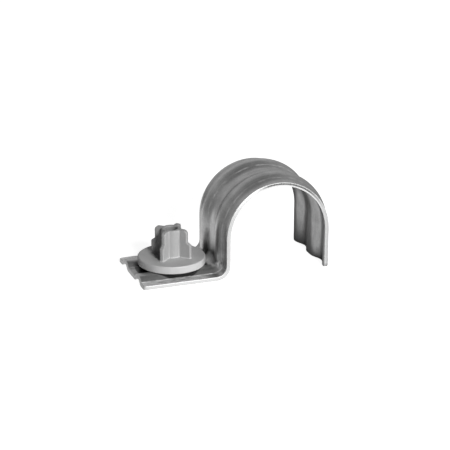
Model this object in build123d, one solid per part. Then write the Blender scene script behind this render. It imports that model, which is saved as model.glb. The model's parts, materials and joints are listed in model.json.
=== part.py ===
# Nailing conduit clip: a beaded sheet-steel strap with one foot, and a plastic nail guide on that foot.
# The Y axis is the conduit's axis, Z points away from the wall, and the foot runs towards -X. Millimetres.
import os
from math import radians, tan

from build123d import *

# Conduit seat
conduit_diameter = 25.0
seat_clearance = 0.1  # radial, between the conduit and the strap
axis_height = 10.3  # conduit axis above the wall face

# Nail bore, and the spigot that holds the guide in the foot
nail_diameter = 2.8
nail_clearance = 0.1  # radial
spigot_wall = 0.8
spigot_clearance = 0.1  # radial, in the foot's hole

# Strip section: a flat valley between two pressed beads, and a flat flange along each edge
sheet_thickness = 1.0
hole_margin = 0.8  # valley left beside the foot's hole, each side
bead_height = 1.2
bead_crest_width = 1.6  # on the conduit side
bead_slope = 41.0  # degrees
bead_crease_radius = 0.9  # outer side, at the foot of the bead
bead_groove_radius = 0.8  # conduit side, under the crest
flange_width = 2.9
edge_roll_radius = 0.2  # outer side, drawn down where the strip was sheared

# Strip length
bend_crest_radius = 1.3  # inside the foot's bend, over the bead crests
guide_to_leg = 2.4  # from the guide's disc to the strap's leg
foot_margin = 2.0  # foot left beyond the disc
end_corner_radius = 1.0

# Nail guide
disc_overhang = 2.35  # beyond the bead crests that it sits on
disc_thickness = 2.0
disc_edge_radius = 0.35
tube_wall = 1.0
tube_edge_radius = 0.2
fin_count = 4
fin_first_angle = 45.0  # degrees from the strip's length
fin_thickness = 1.1
fin_upper_reach = 2.0  # beyond the tube
fin_step = 1.0  # further reach of a fin's lower part
fin_lower_height = 3.3
fin_shoulder_height = 0.7
fin_upper_height = 3.2
fin_top_radius = 1.0
fin_edge_radius = 0.2

# Sizes that follow from those above
seat_radius = conduit_diameter / 2 + seat_clearance
wall_z = -axis_height

bore_radius = nail_diameter / 2 + nail_clearance
tube_radius = bore_radius + tube_wall
spigot_radius = bore_radius + spigot_wall
hole_radius = spigot_radius + spigot_clearance

bead_run = bead_height / tan(radians(bead_slope))
bead_inner_y = hole_radius + hole_margin
bead_outer_y = bead_inner_y + 2 * bead_run + bead_crest_width
half_width = bead_outer_y + flange_width
outer_shift = sheet_thickness * tan(radians(bead_slope / 2))

foot_top_z = wall_z + sheet_thickness
disc_z = foot_top_z + bead_height
disc_top_z = disc_z + disc_thickness
disc_radius = bead_outer_y - bead_run + disc_overhang
stub_top_z = disc_top_z + fin_lower_height + fin_shoulder_height + fin_upper_height

leg_outer_x = -seat_radius - sheet_thickness
guide_x = leg_outer_x - guide_to_leg - disc_radius
foot_end_x = guide_x - disc_radius - foot_margin
bend_radius = bend_crest_radius + bead_height + sheet_thickness
bend_x = -seat_radius - bend_radius
bend_z = wall_z + bend_radius


def bead_corners(side, shift, level):
    # The four corners of one bead in order of rising Y, on one face of the sheet
    low, high = sorted((side * bead_inner_y, side * bead_outer_y))
    return [
        (low - shift, level),
        (low + bead_run - shift, level + bead_height),
        (high - bead_run + shift, level + bead_height),
        (high + shift, level),
    ]


def sheet_face_line(shift, level, foot_radius, crest_radius):
    # One face of the sheet across the strip, from edge to edge
    corners = bead_corners(-1, shift, level) + bead_corners(1, shift, level)
    bead_radii = [foot_radius, crest_radius, crest_radius, foot_radius]
    return FilletPolyline((-half_width, level), *corners, (half_width, level), radius=2 * bead_radii)


def strip_section(position, travel):
    # The strip's section where its conduit side passes a position, facing along the strip
    inner_foot = bead_crease_radius + sheet_thickness
    outer_crest = bead_groove_radius + sheet_thickness
    inner = sheet_face_line(0, 0, inner_foot, bead_groove_radius)
    outer = sheet_face_line(outer_shift, sheet_thickness, bead_crease_radius, outer_crest)
    section = make_face([inner, Line(inner @ 1, outer @ 1), outer, Line(outer @ 0, inner @ 0)])
    rolled_corners = [section.vertices().sort_by_distance(outer @ end)[0] for end in (0, 1)]
    section = fillet(rolled_corners, min(edge_roll_radius, sheet_thickness / 2))
    return Plane(position, x_dir=(0, 1, 0), z_dir=travel) * section


def end_corner(position, travel, side):
    # What rounding takes off one corner at an end of the strip, seen square to the sheet
    radius = min(end_corner_radius, flange_width / 2)
    off_cut = Pos(radius, radius) * Rectangle(2 * radius, 2 * radius) - Circle(radius)
    across = Vector(0, side, 0)
    outwards = Vector(travel)
    centre = Vector(position) + across * (half_width - radius) - outwards * radius
    sheet_plane = Plane(centre, x_dir=outwards, z_dir=outwards.cross(across))
    return extrude(sheet_plane * off_cut, 2 * sheet_thickness, both=True)


def make_strap():
    foot = extrude(strip_section((foot_end_x, 0, wall_z), (1, 0, 0)), bend_x - foot_end_x)
    bend_axis = Axis((bend_x, 0, bend_z), (0, -1, 0))
    bend = revolve(strip_section((bend_x, 0, wall_z), (1, 0, 0)), bend_axis, 90)
    foot_leg = extrude(strip_section((-seat_radius, 0, bend_z), (0, 0, 1)), -bend_z)
    saddle = revolve(strip_section((-seat_radius, 0, 0), (0, 0, 1)), Axis.Y, 180)
    free_leg = extrude(strip_section((seat_radius, 0, 0), (0, 0, -1)), axis_height)
    strap = foot + [bend, foot_leg, saddle, free_leg]

    strap -= Pos(guide_x, 0, wall_z) * Cylinder(hole_radius, 4 * sheet_thickness)
    for side in (-1, 1):
        strap -= end_corner((foot_end_x, 0, wall_z), (-1, 0, 0), side)
        strap -= end_corner((seat_radius, 0, wall_z), (0, 0, -1), side)
    return strap


def make_guide_body():
    # Spigot, disc and tube, turned about the nail's axis
    outline = make_face(
        Polyline(
            (bore_radius, wall_z),
            (spigot_radius, wall_z),
            (spigot_radius, disc_z),
            (disc_radius, disc_z),
            (disc_radius, disc_top_z),
            (tube_radius, disc_top_z),
            (tube_radius, stub_top_z),
            (bore_radius, stub_top_z),
            close=True,
        )
    )
    rim = outline.vertices().group_by(Axis.X)[-1]
    outline = fillet(rim, min(disc_edge_radius, disc_thickness / 3))
    tube_top = outline.vertices().group_by(Axis.Y)[-1]
    outline = fillet(tube_top, min(tube_edge_radius, tube_wall / 3))
    return revolve(Plane.XZ * outline, Axis.Z)


def make_fin():
    # A stepped fin in the XZ plane, rooted inside the tube's wall and the disc
    root_radius = bore_radius + tube_wall / 2
    root_z = disc_top_z - disc_thickness / 2
    upper_radius = tube_radius + fin_upper_reach
    lower_radius = upper_radius + fin_step
    shoulder_z = disc_top_z + fin_lower_height
    upper_z = shoulder_z + fin_shoulder_height
    outline = make_face(
        Polyline(
            (root_radius, root_z),
            (lower_radius, root_z),
            (lower_radius, shoulder_z),
            (upper_radius, upper_z),
            (upper_radius, stub_top_z),
            (root_radius, stub_top_z),
            close=True,
        )
    )
    top_corner = outline.vertices().group_by(Axis.Y)[-1].sort_by(Axis.X)[-1]
    outline = fillet(top_corner, min(fin_top_radius, fin_upper_reach / 2, fin_upper_height / 2))
    fin = extrude(Plane.XZ * outline, fin_thickness / 2, both=True)
    inner_edges = fin.edges().group_by(Axis.X)[0]
    rim_edges = (fin.edges() - inner_edges).filter_by(lambda edge: abs(edge.center().Y) > fin_thickness / 4)
    return fillet(rim_edges, min(fin_edge_radius, fin_thickness / 4))


def make_guide():
    guide = make_guide_body() + PolarLocations(0, fin_count, fin_first_angle) * make_fin()
    return Pos(guide_x, 0, 0) * guide


os.makedirs("parts", exist_ok=True)
export_step(make_strap(), "parts/saddle_strap.step")
export_step(make_guide(), "parts/nail_guide.step")
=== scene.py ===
import json
from math import asin, cos, pi, radians, sin, tan

import bmesh
import bpy
from mathutils import Matrix, Quaternion, Vector, noise


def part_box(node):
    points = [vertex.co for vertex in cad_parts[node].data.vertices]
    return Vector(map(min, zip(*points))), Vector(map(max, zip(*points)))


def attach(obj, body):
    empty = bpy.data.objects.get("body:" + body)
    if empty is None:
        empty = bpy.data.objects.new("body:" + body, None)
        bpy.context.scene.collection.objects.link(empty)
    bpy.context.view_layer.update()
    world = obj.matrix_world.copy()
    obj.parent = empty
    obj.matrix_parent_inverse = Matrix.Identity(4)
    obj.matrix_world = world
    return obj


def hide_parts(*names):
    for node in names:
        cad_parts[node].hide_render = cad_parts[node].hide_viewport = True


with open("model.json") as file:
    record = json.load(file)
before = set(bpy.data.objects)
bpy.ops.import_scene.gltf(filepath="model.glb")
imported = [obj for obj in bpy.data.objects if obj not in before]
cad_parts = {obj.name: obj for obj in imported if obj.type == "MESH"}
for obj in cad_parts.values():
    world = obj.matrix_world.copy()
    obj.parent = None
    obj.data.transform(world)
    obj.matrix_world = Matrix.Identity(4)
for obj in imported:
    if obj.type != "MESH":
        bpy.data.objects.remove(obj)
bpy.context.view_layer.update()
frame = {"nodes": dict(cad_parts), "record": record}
bpy.ops.object.select_all(action="DESELECT")
mm = 0.001
hair = 0.01 * mm  # places closer than this count as the same
mergeGap = 0.002 * mm
mounts = {mount["name"]: mount for mount in frame["record"]["mounts"]}
seatRadius = mounts["conduit_seat"]["dims"]["r_mm"] * mm
boreRadius = mounts["nail_bore"]["dims"]["r_mm"] * mm
guideX = mounts["nail_bore"]["pos_m"][0]
strapLow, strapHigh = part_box("saddle_strap")
guideLow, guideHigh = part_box("nail_guide")
footEnd = strapLow.x
wallZ = strapLow.z
halfWidth = strapHigh.y
print("frame loaded:", sorted(frame["nodes"]))


# small helpers for edit mode and for node trees

def activate(piece):
    bpy.ops.object.select_all(action="DESELECT")
    piece.select_set(True)
    bpy.context.view_layer.objects.active = piece


def editMesh(piece):
    activate(piece)
    bpy.ops.object.mode_set(mode="EDIT")
    return bmesh.from_edit_mesh(piece.data)


def leaveEdit():
    bpy.ops.object.mode_set(mode="OBJECT")


def pick(mesh, verts=(), edges=()):
    bpy.ops.mesh.select_mode(type="VERT" if verts else "EDGE")
    bpy.ops.mesh.select_all(action="DESELECT")
    for item in (*verts, *edges):
        item.select_set(True)
    mesh.select_flush_mode()


def useModifier(piece, kind, **settings):
    activate(piece)
    bpy.ops.object.modifier_add(type=kind)
    modifier = piece.modifiers[-1]
    for name, value in settings.items():
        setattr(modifier, name, value)
    bpy.ops.object.modifier_apply(modifier=modifier.name)


def addNode(tree, kind, inputs=None, **settings):
    made = tree.nodes.new(kind)
    for name, value in settings.items():
        setattr(made, name, value)
    for name, value in (inputs or {}).items():
        if isinstance(value, bpy.types.NodeSocket):
            tree.links.new(value, made.inputs[name])
        else:
            made.inputs[name].default_value = value
    return made


def ramp(tree, factor, stops):
    made = addNode(tree, "ShaderNodeValToRGB", {"Fac": factor})
    elements = made.color_ramp.elements
    while len(elements) < len(stops):
        elements.new(0.5)
    for element, (place, level) in zip(elements, stops):
        element.position = place
        element.color = (level, level, level, 1)
    return made.outputs["Color"]


def mathNode(tree, operation, first, second=0.0, third=0.0):
    return addNode(tree, "ShaderNodeMath", {0: first, 1: second, 2: third}, operation=operation).outputs[0]


def mapRange(tree, value, fromMin, fromMax, toMin=0.0, toMax=1.0):
    ends = {"From Min": fromMin, "From Max": fromMax, "To Min": toMin, "To Max": toMax}
    return addNode(tree, "ShaderNodeMapRange", {"Value": value, **ends}).outputs[0]


def noiseNode(tree, place, scale, detail, roughness=0.5, distortion=0.0):
    look = {"Scale": scale, "Detail": detail, "Roughness": roughness, "Distortion": distortion}
    return addNode(tree, "ShaderNodeTexNoise", {"Vector": place, **look}).outputs["Fac"]


def attribute(tree, name):
    return addNode(tree, "ShaderNodeAttribute", attribute_name=name).outputs["Fac"]


def fromNailAxis(tree, place):
    # distance from the nail's axis, seen from above
    flat = addNode(tree, "ShaderNodeVectorMath", {0: place, 1: (1, 1, 0)}, operation="MULTIPLY").outputs[0]
    away = addNode(tree, "ShaderNodeVectorMath", {0: flat, 1: (guideX, 0, 0)}, operation="DISTANCE")
    return away.outputs["Value"]


def addBump(tree, shader, height, strength, distance):
    bump = addNode(tree, "ShaderNodeBump", {"Strength": strength, "Distance": distance, "Height": height})
    tree.links.new(bump.outputs["Normal"], shader.inputs["Normal"])


def mixGrey(tree, blend, factor, first, second):
    made = addNode(tree, "ShaderNodeMix", {"Factor": factor}, data_type="RGBA", blend_type=blend)
    for socket, value in ((made.inputs[6], first), (made.inputs[7], second)):
        if isinstance(value, bpy.types.NodeSocket):
            tree.links.new(value, socket)
        else:
            socket.default_value = value
    return made.outputs[2]


def newMaterial(name, sockets):
    material = bpy.data.materials.new(name)
    material.use_nodes = True
    shader = material.node_tree.nodes["Principled BSDF"]
    for socket, value in sockets.items():
        shader.inputs[socket].default_value = value
    return material, material.node_tree, shader


def mirrorRay(tree, path):
    # 1 for what metal and glass mirror or show, 0 for all else
    return mathNode(tree, "MAXIMUM", path.outputs["Is Glossy Ray"], path.outputs["Is Transmission Ray"])


def grey(level):
    return (level, level, level, 1)


# galvanised strip: rolled streaks along its length, faint spangle, painted highlights and sheen, and painted
# shade

galvanised = {
    "dark": 0.24,
    "light": 0.47,
    "highlightLevel": 0.95,
    "paintedShade": 0.05,
    "streakAlong": 110,  # per metre
    "streakAcross": 3400,
    "blotch": 300,
    "spangle": 1100,
    "spangleShare": 0.14,
    "grain": 3000,
    "grainShare": 0.22,
    "dashAlong": 520,
    "dashAcross": 2600,
    "discShadow": 0.9,  # painted shadow: a dark line round the edge of the guide's disc
    "discShadowReach": 8.5 * mm,
    "valleyShadowReach": 9.3 * mm,  # the painted shadow lies lower down in the valley, so it shows further out
    "valleyShadowWidth": 2.9 * mm,
    "shadowFade": 0.25 * mm,
    "roughLow": 0.26,
    "roughHigh": 0.44,
    "bump": 0.04 * mm,
}


def makeGalvanised():
    material, tree, shader = newMaterial("galvanisedSteel", {"Metallic": 1.0})
    uv = addNode(tree, "ShaderNodeUVMap", uv_map="strip").outputs["UV"]
    place = addNode(tree, "ShaderNodeTexCoord").outputs["Object"]
    paintedGlints, paintedSheen, paintedShade, depth = [attribute(tree, name) for name in ("paintedGlints", "paintedSheen", "paintedShade", "depth")]

    def stretched(along, across, detail):
        spot = addNode(tree, "ShaderNodeMapping", {"Vector": uv, "Scale": (along, across, 1)}).outputs[0]
        return noiseNode(tree, spot, 1.0, detail, roughness=0.62)

    streak = stretched(galvanised["streakAlong"], galvanised["streakAcross"], 6.0)
    dash = stretched(galvanised["dashAlong"], galvanised["dashAcross"], 3.0)
    blotch = noiseNode(tree, place, galvanised["blotch"], 5.0, roughness=0.6)
    grain = noiseNode(tree, place, galvanised["grain"], 3.0)
    crystals = {"Vector": place, "Scale": galvanised["spangle"], "Randomness": 1.0}
    spangle = addNode(tree, "ShaderNodeTexVoronoi", crystals).outputs["Color"]

    # the zinc's own tone: streaks and blotches in equal parts, then spangle and grain
    tone = mixGrey(tree, "MIX", 0.5, ramp(tree, streak, [(0.34, 0.0), (0.66, 1.0)]),
                   ramp(tree, blotch, [(0.32, 0.0), (0.68, 1.0)]))
    tone = mixGrey(tree, "MIX", galvanised["spangleShare"], tone, spangle)
    tone = mixGrey(tree, "MIX", galvanised["grainShare"], tone, ramp(tree, grain, [(0.36, 0.0), (0.64, 1.0)]))
    level = mapRange(tree, tone, 0.0, 1.0, galvanised["dark"], galvanised["light"])

    # painted shade in the valley's crease, on the beads' slopes and in the bend, and a painted shadow on the
    # outer face round the guide's disc
    shadeShare = mathNode(tree, "MULTIPLY", paintedShade, ramp(tree, blotch, [(0.3, 1.0), (0.75, 0.45)]))
    sides = addNode(tree, "ShaderNodeSeparateXYZ", {"Vector": place}).outputs
    across = mathNode(tree, "ABSOLUTE", sides["Y"])
    valley, fade = galvanised["valleyShadowWidth"], galvanised["shadowFade"]
    reach = mapRange(tree, across, valley, valley + fade,
                     galvanised["valleyShadowReach"], galvanised["discShadowReach"])
    inside = mathNode(tree, "SUBTRACT", reach, fromNailAxis(tree, place))
    shadowUnderDisc = mathNode(tree, "MULTIPLY", mapRange(tree, inside, 0.0, fade, 0.0, galvanised["discShadow"]),
                         ramp(tree, depth, [(0.6, 0.0), (0.9, 1.0)]))
    shadeShare = mathNode(tree, "MAXIMUM", shadeShare, shadowUnderDisc)
    level = mixGrey(tree, "MIX", shadeShare, level, grey(galvanised["paintedShade"]))

    # painted highlights: broken pale lines along the creases, and painted sheen on the foot's flanges
    lines = mathNode(tree, "MULTIPLY", paintedGlints, ramp(tree, dash, [(0.44, 0.05), (0.60, 1.0)]))
    flanges = mathNode(tree, "MULTIPLY", paintedSheen, ramp(tree, dash, [(0.38, 0.3), (0.66, 0.85)]))
    highlightShare = mathNode(tree, "MAXIMUM", lines, flanges)
    colour = mixGrey(tree, "MIX", highlightShare, level, grey(galvanised["highlightLevel"]))
    tree.links.new(colour, shader.inputs["Base Color"])
    tree.links.new(mapRange(tree, highlightShare, 0.0, 1.0, 1.0, 0.0), shader.inputs["Metallic"])

    rough = mapRange(tree, tone, 0.0, 1.0, galvanised["roughHigh"], galvanised["roughLow"])
    tree.links.new(rough, shader.inputs["Roughness"])
    addBump(tree, shader, mixGrey(tree, "MIX", 0.35, streak, grain), 0.4, galvanised["bump"])
    return material


# sheared edge of the strip: pale, with a duller line half way through, and dragged dark over the arch

sheared = {
    "layers": [(0.48, 0.50), (0.58, 0.38), (0.70, 0.50)],  # from the conduit side out
    "archLayers": [(0.30, 0.60), (0.38, 0.03), (0.70, 0.03), (0.84, 0.36)],  # where the tool dragged
    "pale": 0.64,  # on the arch's foot side
    "archFrom": 5.0 * mm,  # above the conduit's axis
    "archFull": 10.5 * mm,
    "draggedFrom": -6.0 * mm,  # along X
    "draggedFull": -2.5 * mm,
    "scoreAlong": 5200,  # per metre
    "scoreAcross": 200,
    "wander": 0.16,  # of the layers, as a share of the sheet
    "bump": 0.05 * mm,
}


def makeSheared():
    material, tree, shader = newMaterial("shearedSteel", {"Metallic": 1.0})
    uv = addNode(tree, "ShaderNodeUVMap", uv_map="strip").outputs["UV"]
    depth = attribute(tree, "depth")
    stretch = (sheared["scoreAlong"], sheared["scoreAcross"], 1)
    spot = addNode(tree, "ShaderNodeMapping", {"Vector": uv, "Scale": stretch}).outputs[0]
    score = noiseNode(tree, spot, 1.0, 4.0)
    wander = mathNode(tree, "MULTIPLY_ADD", score, sheared["wander"], -sheared["wander"] / 2)
    through = mathNode(tree, "ADD", depth, wander)
    place = addNode(tree, "ShaderNodeTexCoord").outputs["Object"]
    sides = addNode(tree, "ShaderNodeSeparateXYZ", {"Vector": place}).outputs
    onArch = mapRange(tree, sides["Z"], sheared["archFrom"], sheared["archFull"])
    pastLeg = mapRange(tree, sides["X"], sheared["draggedFrom"], sheared["draggedFull"])
    dragged = mathNode(tree, "MULTIPLY", mathNode(tree, "MULTIPLY", onArch, pastLeg),
                       ramp(tree, score, [(0.42, 1.0), (0.62, 0.6)]))
    level = mixGrey(tree, "MIX", onArch, ramp(tree, through, sheared["layers"]), grey(sheared["pale"]))
    level = mixGrey(tree, "MIX", dragged, level, ramp(tree, through, sheared["archLayers"]))
    colour = mixGrey(tree, "MULTIPLY", 0.35, level, ramp(tree, score, [(0.3, 0.7), (0.65, 1.0)]))
    tree.links.new(colour, shader.inputs["Base Color"])
    tree.links.new(ramp(tree, depth, [(0.4, 0.72), (0.62, 0.6)]), shader.inputs["Roughness"])
    addBump(tree, shader, score, 0.3, sheared["bump"])
    return material


# grey plastic of the guide: satin moulded skin with faint flow clouds and dust-fine speckle, and painted
# shade on the stub and in its bore

moulded = {
    "dark": 0.385,
    "light": 0.445,
    "flow": 260,  # per metre
    "skin": 6500,
    "skinShare": 0.3,
    "stubShade": 0.69,  # painted shade: the stub is drawn nearly a third darker than the disc
    "stubFade": 0.4 * mm,
    # painted shade inside the bore
    "boreShade": 0.7,
    "boreFade": 0.15 * mm,
    "roughLow": 0.38,
    "roughHigh": 0.52,
    "bump": 0.03 * mm,
}


def makePlastic():
    material, tree, shader = newMaterial("greyPlastic", {"IOR": 1.49})
    place = addNode(tree, "ShaderNodeTexCoord").outputs["Object"]
    flow = noiseNode(tree, place, moulded["flow"], 5.0, roughness=0.6, distortion=0.8)
    skin = noiseNode(tree, place, moulded["skin"], 4.0)
    tone = mixGrey(tree, "MIX", moulded["skinShare"], flow, skin)
    level = mapRange(tree, tone, 0.3, 0.7, moulded["dark"], moulded["light"])
    # painted shade: the stub above the disc and its bore are drawn darker than the disc
    rise = addNode(tree, "ShaderNodeSeparateXYZ", {"Vector": place}).outputs["Z"]
    onStub = mapRange(tree, rise, discTop, discTop + moulded["stubFade"], 1.0, moulded["stubShade"])
    inBore = mapRange(tree, fromNailAxis(tree, place), boreRadius, boreRadius + moulded["boreFade"],
                      moulded["boreShade"], 1.0)
    level = mathNode(tree, "MULTIPLY", mathNode(tree, "MULTIPLY", level, onStub), inBore)
    tree.links.new(level, shader.inputs["Base Color"])
    rough = mapRange(tree, skin, 0.3, 0.7, moulded["roughLow"], moulded["roughHigh"])
    tree.links.new(rough, shader.inputs["Roughness"])
    addBump(tree, shader, tone, 0.2, moulded["bump"])
    return material


# strap: one strip with two pressed beads, run out along the foot, up the leg and over the saddle

strap = {
    "sheet": 1.0 * mm,
    "beadInnerY": 3.2 * mm,  # conduit side
    "beadCrest": 1.6 * mm,
    "beadHeight": 1.2 * mm,
    "beadSlope": radians(41),
    "creaseRadius": 0.9 * mm,  # outer side
    "grooveRadius": 0.8 * mm,  # conduit side
    "bendCrestRadius": 1.3 * mm,
    "endCorner": 1.0 * mm,
    "edgeRoll": 0.2 * mm,
    "waveSpan": 8.6 * mm,  # a bead's width where it has softened into a wave
    "softFrom": 2.0 * mm,  # past the start of the bend
    "softTo": 9.0 * mm,
    "arcSteps": 6,
    "acrossStep": 0.5 * mm,
    "endStep": 1.4 * mm,
    "step": 1.1 * mm,
    "bendSteps": 14,
    "saddleSteps": 72,
    "waveSize": 6.0 * mm,
    "waveHeight": 0.035 * mm,
    "holeRadius": boreRadius + 0.9 * mm,
    "holeSteps": 72,
    "glintWidth": 0.26 * mm,
    "footGlints": 1.0,  # painted highlight along the beads' outer creases
    "archGlints": 0.35,
    "valleyGlints": 0.55,  # painted highlight along the valley's back crease
    "sheenFade": 4.0 * mm,  # painted sheen on the foot's flanges, fading out over this length before its bend
    "bendGlint": 0.5,  # painted highlight on the front bead, in the bend
    "bendGlintAt": 0.9,  # of the way round the bend
    "bendGlintReach": 3.4 * mm,
    "creaseShadeWidth": 0.36 * mm,  # painted shade along the valley's front crease
    "slopeShade": 0.05,  # painted shade on the beads' slopes
    "bendShade": 0.85,  # painted shade in the bend beside the guide
    "bendShadeAt": 0.8,  # of the way round the bend
    "bendShadeReach": 2.6 * mm,
    "bendShadeWidth": 4.6 * mm,
    "smoothAngle": radians(35),
}
bendRadius = strap["bendCrestRadius"] + strap["beadHeight"] + strap["sheet"]
bendX = -seatRadius - bendRadius
bendZ = wallZ + bendRadius
beadRun = strap["beadHeight"] / tan(strap["beadSlope"])
beadOuterY = strap["beadInnerY"] + 2 * beadRun + strap["beadCrest"]
beadMiddle = (strap["beadInnerY"] + beadOuterY) / 2
outerShift = strap["sheet"] * tan(strap["beadSlope"] / 2)
footRun = bendX - footEnd
bendLength = bendRadius * pi / 2
legRun = -bendZ
saddleLength = seatRadius * pi


def roundedLine(corners, radii, steps):
    # a polyline with each inner corner replaced by points on its arc
    line = [corners[0]]
    for before, corner, after, radius in zip(corners, corners[1:], corners[2:], radii):
        back = (before - corner).normalized()
        ahead = (after - corner).normalized()
        turn = pi - back.angle(ahead)
        start = corner + back * radius * tan(turn / 2)
        centre = corner + (back + ahead).normalized() * radius / cos(turn / 2)
        sense = 1 if back.cross(ahead) < 0 else -1
        for step in range(steps + 1):
            spoke = Matrix.Rotation(sense * turn * step / steps, 2) @ (start - centre)
            line.append(centre + spoke)
    return line + [corners[-1]]


def sectionLine():
    # the conduit side of the strip from edge to edge, as (across, outwards)
    inner, outer, height = strap["beadInnerY"], beadOuterY, strap["beadHeight"]
    half = [(inner, 0), (inner + beadRun, height), (outer - beadRun, height), (outer, 0)]
    right = [Vector(corner) for corner in half]
    left = [Vector((-y, n)) for y, n in reversed(half)]
    ends = [Vector((-halfWidth, 0)), Vector((halfWidth, 0))]
    crease = strap["creaseRadius"] + strap["sheet"]
    groove = strap["grooveRadius"]
    radii = 2 * [crease, groove, groove, crease]
    line = roundedLine([ends[0], *left, *right, ends[1]], radii, strap["arcSteps"])
    filled = [line[0]]
    for before, after in zip(line, line[1:]):
        parts = max(1, round((after - before).length / strap["acrossStep"]))
        filled += [before.lerp(after, part / parts) for part in range(1, parts + 1)]
    return filled


def alongStrip(place):
    # distance from the foot's end, and the place's height above the conduit side's path
    x, z = place.x, place.z
    if x <= bendX:
        return x - footEnd, z - wallZ
    if z > 0:
        spoke = Vector((x, z))
        travel = seatRadius * Vector((-1, 0)).angle(spoke)
        return footRun + bendLength + legRun + travel, spoke.length - seatRadius
    if x > 0:
        return footRun + bendLength + legRun + saddleLength - z, x - seatRadius
    if z > bendZ:
        return footRun + bendLength + z - bendZ, -seatRadius - x
    spoke = Vector((x - bendX, z - bendZ))
    return footRun + bendRadius * Vector((0, -1)).angle(spoke), bendRadius - spoke.length


def outwards(place):
    # away from the conduit side, square to the strip's path
    x, z = place.x, place.z
    if x <= bendX:
        return Vector((0, 0, 1))
    if z > 0:
        return Vector((x, 0, z)).normalized()
    if x > 0:
        return Vector((1, 0, 0))
    if z > bendZ:
        return Vector((-1, 0, 0))
    return Vector((bendX - x, 0, bendZ - z)).normalized()


def softRise(along, across, height):
    # a sharp bead's height on the foot, passing into a wave on the leg and the saddle
    share = max(0, min(1, (along - footRun - strap["softFrom"]) / (strap["softTo"] - strap["softFrom"])))
    turn = max(-0.5, min(0.5, (across - beadMiddle) / strap["waveSpan"]))
    wave = strap["beadHeight"] * (1 + cos(2 * pi * turn)) / 2
    return height + (wave - height) * share * share * (3 - 2 * share)


def softenBeads(piece):
    for vert in piece.data.vertices:
        along, height = alongStrip(vert.co)
        vert.co += outwards(vert.co) * (softRise(along, abs(vert.co.y), height) - height)


def extrudeRun(run, direction, firstStep=0.0, lastStep=0.0):
    # straight stretch in even steps, with a longer first or last one where a corner is rounded
    even = run - firstStep - lastStep
    count = max(1, round(even / strap["step"]))
    steps = [firstStep] * (firstStep > 0) + [even / count] * count + [lastStep] * (lastStep > 0)
    for step in steps:
        move = Vector(direction) * step
        bpy.ops.mesh.extrude_region_move(TRANSFORM_OT_translate={"value": move})


def makeStrapSheet():
    section = sectionLine()
    bpy.ops.mesh.primitive_plane_add(size=2 * halfWidth, location=(footEnd - halfWidth, 0, wallZ))
    piece = bpy.context.object
    piece.name = "saddleStrap"
    bpy.ops.object.transform_apply(location=True, rotation=True, scale=True)
    mesh = editMesh(piece)
    pick(mesh, verts=[v for v in mesh.verts if v.co.x < footEnd - halfWidth])
    bpy.ops.mesh.delete(type="VERT")
    bpy.ops.mesh.select_all(action="SELECT")
    bpy.ops.mesh.subdivide(number_cuts=len(section) - 2)
    mesh = bmesh.from_edit_mesh(piece.data)
    for vert, (across, out) in zip(sorted(mesh.verts, key=lambda v: v.co.y), section):
        vert.co = (footEnd, across, wallZ + out)
    bpy.ops.mesh.select_all(action="SELECT")
    extrudeRun(footRun, (1, 0, 0), firstStep=strap["endStep"])
    bpy.ops.mesh.spin(steps=strap["bendSteps"], angle=pi / 2, center=(bendX, 0, bendZ), axis=(0, 1, 0))
    extrudeRun(legRun, (0, 0, 1))
    bpy.ops.mesh.spin(steps=strap["saddleSteps"], angle=pi, center=(0, 0, 0), axis=(0, -1, 0))
    extrudeRun(-wallZ, (0, 0, -1), lastStep=strap["endStep"])

    bpy.ops.mesh.select_all(action="SELECT")
    bpy.ops.mesh.remove_doubles(threshold=mergeGap)
    bpy.ops.mesh.normals_make_consistent(inside=False)
    mesh = bmesh.from_edit_mesh(piece.data)
    footFace = min(mesh.faces, key=lambda face: face.calc_center_median().x)
    if footFace.normal.z < 0:
        bpy.ops.mesh.flip_normals()
    corners = [v for v in mesh.verts if len(v.link_faces) == 1]
    pick(mesh, verts=corners)
    bpy.ops.mesh.bevel(offset=strap["endCorner"], segments=7, affect="VERTICES")
    leaveEdit()
    return piece


def waveSheet(piece):
    # rolled sheet is never quite flat, which shows in its reflections; it stays flat on the wall
    piece.data.update()
    for vert in piece.data.vertices:
        swell = noise.noise(vert.co / strap["waveSize"]) * strap["waveHeight"]
        vert.co += vert.normal * swell * min(1, (vert.co.z - wallZ) / bendRadius)


def addStripMap(piece):
    layer = piece.data.uv_layers.new(name="strip")
    for loop in piece.data.loops:
        place = piece.data.vertices[loop.vertex_index].co
        layer.data[loop.index].uv = (alongStrip(place)[0], place.y + halfWidth)


def cutFootHole(piece):
    bpy.ops.mesh.primitive_cylinder_add(vertices=strap["holeSteps"], radius=strap["holeRadius"],
                                        depth=4 * strap["sheet"], location=(guideX, 0, wallZ))
    cutter = bpy.context.object
    useModifier(piece, "BOOLEAN", object=cutter, operation="DIFFERENCE", solver="EXACT")
    bpy.data.objects.remove(cutter)


def rollEdges(piece):
    # the outer side draws down at a sheared edge, and the conduit side stays sharp
    mesh = editMesh(piece)
    outerRim = []
    for edge in mesh.edges:
        if sorted(face.material_index for face in edge.link_faces) != [0, 1]:
            continue
        shell = next(face for face in edge.link_faces if face.material_index == 0)
        middle = shell.calc_center_median()
        if alongStrip(middle + shell.normal * hair)[1] > alongStrip(middle)[1]:
            outerRim.append(edge)
    pick(mesh, edges=outerRim)
    bpy.ops.mesh.bevel(offset=strap["edgeRoll"], segments=4, affect="EDGES", material=1, clamp_overlap=True)
    leaveEdit()
    print("  edges rolled:", len(outerRim))


def nearLine(gap, width):
    # 1 on a line, falling to 0 at a width from it
    return max(0, 1 - abs(gap) / width)


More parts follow.
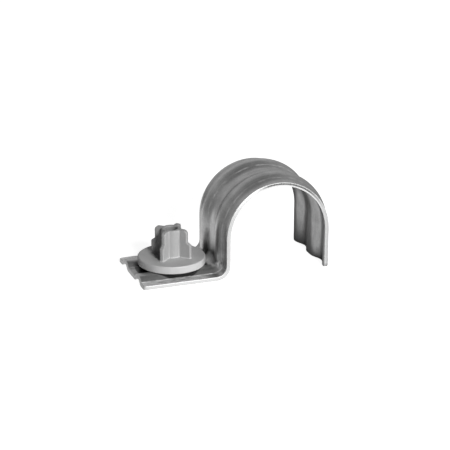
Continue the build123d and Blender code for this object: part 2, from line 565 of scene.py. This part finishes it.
def paintStrap(piece):
    # depth through the sheet for its sheared edge, and where painted highlights, painted sheen and painted
    # shade go
    names = ("depth", "paintedGlints", "paintedSheen", "paintedShade")
    for name in names:
        piece.data.attributes.new(name, "FLOAT", "POINT")
    depth, paintedGlints, paintedSheen, paintedShade = [piece.data.attributes[name] for name in names]
    innerCrease = strap["beadInnerY"] - outerShift
    outerCrease = beadOuterY + outerShift
    for vert in piece.data.vertices:
        along, height = alongStrip(vert.co)
        across = abs(vert.co.y)
        slope = max(0, min(1, (strap["beadCrest"] / 2 + beadRun - abs(across - beadMiddle)) / beadRun))
        rise = softRise(along, across, slope * strap["beadHeight"])
        depth.data[vert.index].value = (height - rise) / strap["sheet"]
        onSlope = max(0, 1 - 2 * abs(slope - 0.5)) ** 0.5
        if depth.data[vert.index].value < 0.5:
            continue
        # painted highlights along the creases, and on the front bead in the bend
        outerGlints = strap["footGlints"] if along < footRun + bendLength else strap["archGlints"]
        lines = [outerGlints * nearLine(across - outerCrease, strap["glintWidth"]),
                 strap["valleyGlints"] * nearLine(vert.co.y - innerCrease, strap["glintWidth"])]
        if -outerCrease < vert.co.y < -beadMiddle:
            fromPress = along - footRun - strap["bendGlintAt"] * bendLength
            lines.append(strap["bendGlint"] * nearLine(fromPress, strap["bendGlintReach"]))
        paintedGlints.data[vert.index].value = max(lines)
        # painted sheen on the foot's flanges
        if across > outerCrease:
            paintedSheen.data[vert.index].value = max(0, min(1, (footRun - along) / strap["sheenFade"]))
        # painted shade along the valley's front crease, on the beads' slopes and in the bend beside the guide
        crease = nearLine(vert.co.y + innerCrease, strap["creaseShadeWidth"])
        inBend = nearLine(along - footRun - strap["bendShadeAt"] * bendLength, strap["bendShadeReach"])
        behindDisc = max(0, 1 - (across / strap["bendShadeWidth"]) ** 4)
        paintedShade.data[vert.index].value = max(crease, strap["slopeShade"] * onSlope,
                                           strap["bendShade"] * inBend * behindDisc)


def makeStrap():
    piece = makeStrapSheet()
    softenBeads(piece)
    waveSheet(piece)
    addStripMap(piece)
    piece.data.materials.append(makeGalvanised())
    piece.data.materials.append(makeSheared())
    useModifier(piece, "SOLIDIFY", thickness=strap["sheet"], offset=1.0, use_even_offset=True,
                material_offset_rim=1)
    cutFootHole(piece)
    rollEdges(piece)
    paintStrap(piece)
    activate(piece)
    bpy.ops.object.shade_smooth_by_angle(angle=strap["smoothAngle"])
    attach(piece, "root")
    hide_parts("saddle_strap")
    print("strap modelled:", len(piece.data.polygons), "faces")


makeStrap()

# nail guide: spigot, disc and tube turned about the nail's axis, with four stepped fins

guide = {
    "spigotRadius": boreRadius + 0.8 * mm,
    "discRadius": (guideHigh.y - guideLow.y) / 2,
    "discUnder": wallZ + strap["sheet"] + strap["beadHeight"],
    "discThickness": 2.0 * mm,
    "discEdge": 0.35 * mm,
    "tubeRadius": boreRadius + 1.0 * mm,
    "fins": 4,
    "firstFin": radians(45),  # from the strip's length
    "finThickness": 1.1 * mm,
    "finUpperReach": 2.0 * mm,
    "finStep": 1.0 * mm,
    "finLowerHeight": 3.3 * mm,
    "finShoulder": 0.7 * mm,
    "finTopRadius": 1.0 * mm,
    "softEdge": 0.26 * mm,
    "rootFlare": 0.2 * mm,
    "boreStep": 0.05 * mm,  # the disc's hole is a little wider than the tube's bore
    "turns": 88,
    "tubeSteps": 10,  # between two fins
    "sharpAngle": radians(40),
    "smoothAngle": radians(32),
}
discTop = guide["discUnder"] + guide["discThickness"]
stubTop = guideHigh.z
finUpper = guide["tubeRadius"] + guide["finUpperReach"]
finLower = finUpper + guide["finStep"]


def axisDistance(vert):
    return Vector((vert.co.x - guideX, vert.co.y)).length


def turnOutline(name, outline):
    # a closed outline of (radius, height) corners, spun once round the nail's axis
    bpy.ops.mesh.primitive_circle_add(vertices=len(outline), radius=guide["discRadius"], location=(0, 0, 0))
    piece = bpy.context.object
    piece.name = name
    mesh = editMesh(piece)
    mesh.verts.ensure_lookup_table()
    for vert, (radius, height) in zip(mesh.verts, outline):
        vert.co = (guideX + radius, 0, height)
    bpy.ops.mesh.select_all(action="SELECT")
    bpy.ops.mesh.spin(steps=guide["turns"], angle=2 * pi, center=(guideX, 0, 0), axis=(0, 0, 1))
    bpy.ops.mesh.select_all(action="SELECT")
    bpy.ops.mesh.remove_doubles(threshold=mergeGap)
    bpy.ops.mesh.normals_make_consistent(inside=False)
    leaveEdit()
    return piece


def makeDisc():
    hole = boreRadius + guide["boreStep"]
    piece = turnOutline("nailGuide", [
        (hole, wallZ), (guide["spigotRadius"], wallZ), (guide["spigotRadius"], guide["discUnder"]),
        (guide["discRadius"], guide["discUnder"]), (guide["discRadius"], discTop), (hole, discTop)])
    mesh = editMesh(piece)
    rim = [e for e in mesh.edges if abs(e.verts[0].co.z - e.verts[1].co.z) < hair
           and all(abs(axisDistance(v) - guide["discRadius"]) < hair for v in e.verts)]
    pick(mesh, edges=rim)
    bpy.ops.mesh.bevel(offset=guide["discEdge"], segments=5, affect="EDGES")
    leaveEdit()
    return piece


def stubLoop(reach, height, grow=0.0, innerRadius=None):
    # tube and fins seen from above, in one loop; with an inner radius, the matching loop round the bore
    loop = []
    half = guide["finThickness"] / 2 + grow
    tube = guide["tubeRadius"] + grow
    root = asin(half / tube)
    apart = 2 * pi / guide["fins"]
    for fin in range(guide["fins"]):
        turn = guide["firstFin"] + fin * apart
        tip = reach + grow
        corners = [(tube * cos(root), -half), (tip, -half), (tip, half), (tube * cos(root), half)]
        angles = [-root, -root / 2, root / 2, root]
        steps = guide["tubeSteps"]
        between = [root + (apart - 2 * root) * step / steps for step in range(1, steps)]
        corners += [(tube * cos(a), tube * sin(a)) for a in between]
        if innerRadius:
            corners = [(innerRadius * cos(a), innerRadius * sin(a)) for a in angles + between]
        for x, y in corners:
            turned = (x * cos(turn) - y * sin(turn), x * sin(turn) + y * cos(turn))
            loop.append(Vector((guideX + turned[0], turned[1], height)))
    return loop


def makeStub():
    # the loop is drawn up from the disc past the fins' shoulders, in to the bore and down it
    low = discTop - guide["discThickness"] / 2
    shoulder = discTop + guide["finLowerHeight"]
    flare = guide["rootFlare"]
    loops = [
        stubLoop(finLower, low, flare),
        stubLoop(finLower, discTop, flare),
        stubLoop(finLower, discTop + 0.25 * flare, 0.5 * flare),
        stubLoop(finLower, discTop + 0.5 * flare, 0.2 * flare),
        stubLoop(finLower, discTop + flare),
        stubLoop(finLower, shoulder),
        stubLoop(finUpper, shoulder + guide["finShoulder"]),
        stubLoop(finUpper, stubTop),
        stubLoop(0, stubTop, innerRadius=boreRadius),
        stubLoop(0, low, innerRadius=boreRadius),
    ]
    bpy.ops.mesh.primitive_circle_add(vertices=len(loops[0]), radius=finLower, location=(0, 0, 0))
    piece = bpy.context.object
    piece.name = "stub"
    mesh = editMesh(piece)
    mesh.verts.ensure_lookup_table()
    for vert, place in zip(mesh.verts, loops[0]):
        vert.co = place
    bpy.ops.mesh.select_all(action="SELECT")
    for below, above in zip(loops, loops[1:]):
        bpy.ops.mesh.extrude_region_move()
        mesh = bmesh.from_edit_mesh(piece.data)
        for vert in [v for v in mesh.verts if v.select]:
            nearest = min(range(len(below)), key=lambda index: (below[index] - vert.co).length)
            vert.co = above[nearest]
    pick(mesh, edges=[e for e in mesh.edges if len(e.link_faces) == 1])
    bpy.ops.mesh.bridge_edge_loops()
    bpy.ops.mesh.select_all(action="SELECT")
    bpy.ops.mesh.normals_make_consistent(inside=False)

    mesh = bmesh.from_edit_mesh(piece.data)
    roots = [e for e in mesh.edges if e.calc_face_angle_signed() < -guide["sharpAngle"]
             and abs(axisDistance(e.verts[0]) - guide["tubeRadius"]) < 2 * flare]
    pick(mesh, edges=roots)
    bpy.ops.mesh.bevel(offset=guide["softEdge"], segments=3, affect="EDGES")
    tops = [e for e in mesh.edges
            if all(v.co.z > stubTop - hair and axisDistance(v) > finUpper for v in e.verts)]
    pick(mesh, edges=tops)
    bpy.ops.mesh.bevel(offset=guide["finTopRadius"], segments=7, affect="EDGES")
    corners = [e for e in mesh.edges if e.calc_face_angle_signed() > guide["sharpAngle"]
               and max(v.co.z for v in e.verts) > discTop]
    pick(mesh, edges=corners)
    bpy.ops.mesh.bevel(offset=guide["softEdge"], segments=3, affect="EDGES")
    leaveEdit()
    return piece


def makeGuide():
    piece = makeDisc()
    stub = makeStub()
    activate(piece)
    stub.select_set(True)
    bpy.ops.object.join()
    piece.data.materials.clear()
    piece.data.materials.append(makePlastic())
    bpy.ops.object.shade_smooth_by_angle(angle=guide["smoothAngle"])
    useModifier(piece, "WEIGHTED_NORMAL", keep_sharp=True)  # flat faces shade flat up to their soft edges
    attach(piece, "root")
    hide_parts("nail_guide")
    print("guide modelled:", len(piece.data.polygons), "faces")


makeGuide()


# plain pale floor, kept white for the camera, with the clip's shadow on it, and painted bands of light and
# shade that only the steel mirrors

floor = {
    "size": 6.0,
    "colour": 0.45,
    "selfWhite": 0.92,  # for the camera, on top of the light that falls on it
    "mirroredColour": 0.3,  # as the steel sees it
    "paintedLightAcross": (0.9, 0.436, 0.0),  # painted light and shade: the steel sees the floor in bright and dark bands, which follow each other this way
    "paintedLightFrom": -50 * mm,
    "paintedLightTo": 50 * mm,
    # levels of the painted bands of light and shade
    "mirrored": [(0.02, 0.3), (0.18, 0.95), (0.35, 1.05), (0.42, 1.02), (0.48, 0.60),
                 (0.54, 1.0), (0.59, 0.0), (0.8, 0.0), (0.92, 0.25)],
    "drop": 0.05 * mm,
}


def makeFloor():
    bpy.ops.mesh.primitive_plane_add(size=floor["size"], location=(0, 0, wallZ - floor["drop"]))
    piece = bpy.context.object
    piece.name = "floor"
    material, tree, shader = newMaterial("paleFloor", {"Roughness": 0.9, "Specular IOR Level": 0.0})
    path = addNode(tree, "ShaderNodeLightPath")
    mirrored = mirrorRay(tree, path)
    colour = mixGrey(tree, "MIX", mirrored, grey(floor["colour"]), grey(floor["mirroredColour"]))
    tree.links.new(colour, shader.inputs["Base Color"])
    # painted bands of light and shade on the floor, seen only in the steel's reflections
    place = addNode(tree, "ShaderNodeTexCoord").outputs["Object"]
    across = addNode(tree, "ShaderNodeVectorMath", {0: place, 1: floor["paintedLightAcross"]},
                     operation="DOT_PRODUCT").outputs["Value"]
    lit = ramp(tree, mapRange(tree, across, floor["paintedLightFrom"], floor["paintedLightTo"]), floor["mirrored"])
    seen = mathNode(tree, "MULTIPLY", path.outputs["Is Camera Ray"], floor["selfWhite"])
    white = mathNode(tree, "MULTIPLY_ADD", mirrored, lit, seen)
    glow = addNode(tree, "ShaderNodeEmission", {"Color": grey(1.0), "Strength": white})
    shown = addNode(tree, "ShaderNodeAddShader", {0: shader.outputs[0], 1: glow.outputs[0]})
    tree.links.new(shown.outputs[0], tree.nodes["Material Output"].inputs["Surface"])
    piece.data.materials.append(material)
    print("floor laid")


# soft studio light: a key from high in front, a low panel at the front right, and a white backdrop

studio = {
    "ambient": 0.04,
    "backdrop": 1.0,
    "behind": 1.0,  # share of the sky that the steel mirrors behind the clip
    "room": 0.46,  # the same on the side the camera stands on
    "brightSide": (0.0, 1.0, 0.0),
    "brightFrom": -0.1,  # cosine of the angle from the bright side
    "brightFull": 0.8,
    # from the horizon up
    "sky": [(0.0, 0.62), (0.12, 0.54), (0.34, 0.70), (0.5, 0.82), (0.62, 0.75), (0.85, 0.46)],
    "lamps": [
        {"name": "keyLamp", "place": (0.10, -1.44, 0.68), "size": 0.34, "power": 27.5},
        {"name": "sidePanel", "place": (0.87, -1.11, 0.25), "size": 0.6, "power": 11.5},
    ],
}


def makeStudio():
    for lamp in studio["lamps"]:
        light = bpy.data.lights.new(lamp["name"], "AREA")
        light.size = lamp["size"]
        light.energy = lamp["power"]
        holder = bpy.data.objects.new(lamp["name"], light)
        holder.location = lamp["place"]
        holder.rotation_euler = (-Vector(lamp["place"])).to_track_quat("-Z", "Y").to_euler()
        bpy.context.scene.collection.objects.link(holder)
    world = bpy.data.worlds.new("studio")
    bpy.context.scene.world = world
    world.use_nodes = True
    tree = world.node_tree
    path = addNode(tree, "ShaderNodeLightPath")
    direction = addNode(tree, "ShaderNodeTexCoord").outputs["Generated"]
    rise = addNode(tree, "ShaderNodeSeparateXYZ", {"Vector": direction}).outputs["Z"]
    towards = addNode(tree, "ShaderNodeVectorMath", {0: direction, 1: studio["brightSide"]},
                      operation="DOT_PRODUCT").outputs["Value"]
    share = mapRange(tree, towards, studio["brightFrom"], studio["brightFull"],
                     studio["room"], studio["behind"])
    reflected = mathNode(tree, "MULTIPLY", share, ramp(tree, rise, studio["sky"]))
    level = addNode(tree, "ShaderNodeMix", {"Factor": mirrorRay(tree, path), "A": studio["ambient"],
                                            "B": reflected})
    shown = addNode(tree, "ShaderNodeMix", {"Factor": path.outputs["Is Camera Ray"], "A": level.outputs[0],
                                            "B": studio["backdrop"]})
    tree.links.new(shown.outputs[0], tree.nodes["Background"].inputs["Strength"])
    tree.nodes["Background"].inputs["Color"].default_value = grey(1.0)
    print("studio lit")


# the photograph's view: front left, a little above

view = {
    "azimuth": radians(19.86),
    "elevation": radians(20.06),
    "roll": radians(0.24),
    "distance": 0.46195,
    "target": (-0.01032, 0.0, 0.00014),
    "lens": 146.96,
    "sensor": 36.0,
    "clipStart": 0.01,
}


def makeCamera():
    side, rise = view["azimuth"], view["elevation"]
    back = Vector((-sin(side) * cos(rise), -cos(side) * cos(rise), sin(rise)))
    camera = bpy.data.cameras.new("photoView")
    camera.lens = view["lens"]
    camera.sensor_width = view["sensor"]
    camera.clip_start = view["clipStart"]
    holder = bpy.data.objects.new("photoView", camera)
    holder.location = Vector(view["target"]) + back * view["distance"]
    holder.rotation_mode = "QUATERNION"
    holder.rotation_quaternion = (-back).to_track_quat("-Z", "Y") @ Quaternion((0, 0, 1), view["roll"])
    bpy.context.scene.collection.objects.link(holder)
    bpy.context.scene.camera = holder
    print("camera placed")


makeFloor()
makeStudio()
makeCamera()
bpy.context.scene.view_settings.view_transform = "Standard"
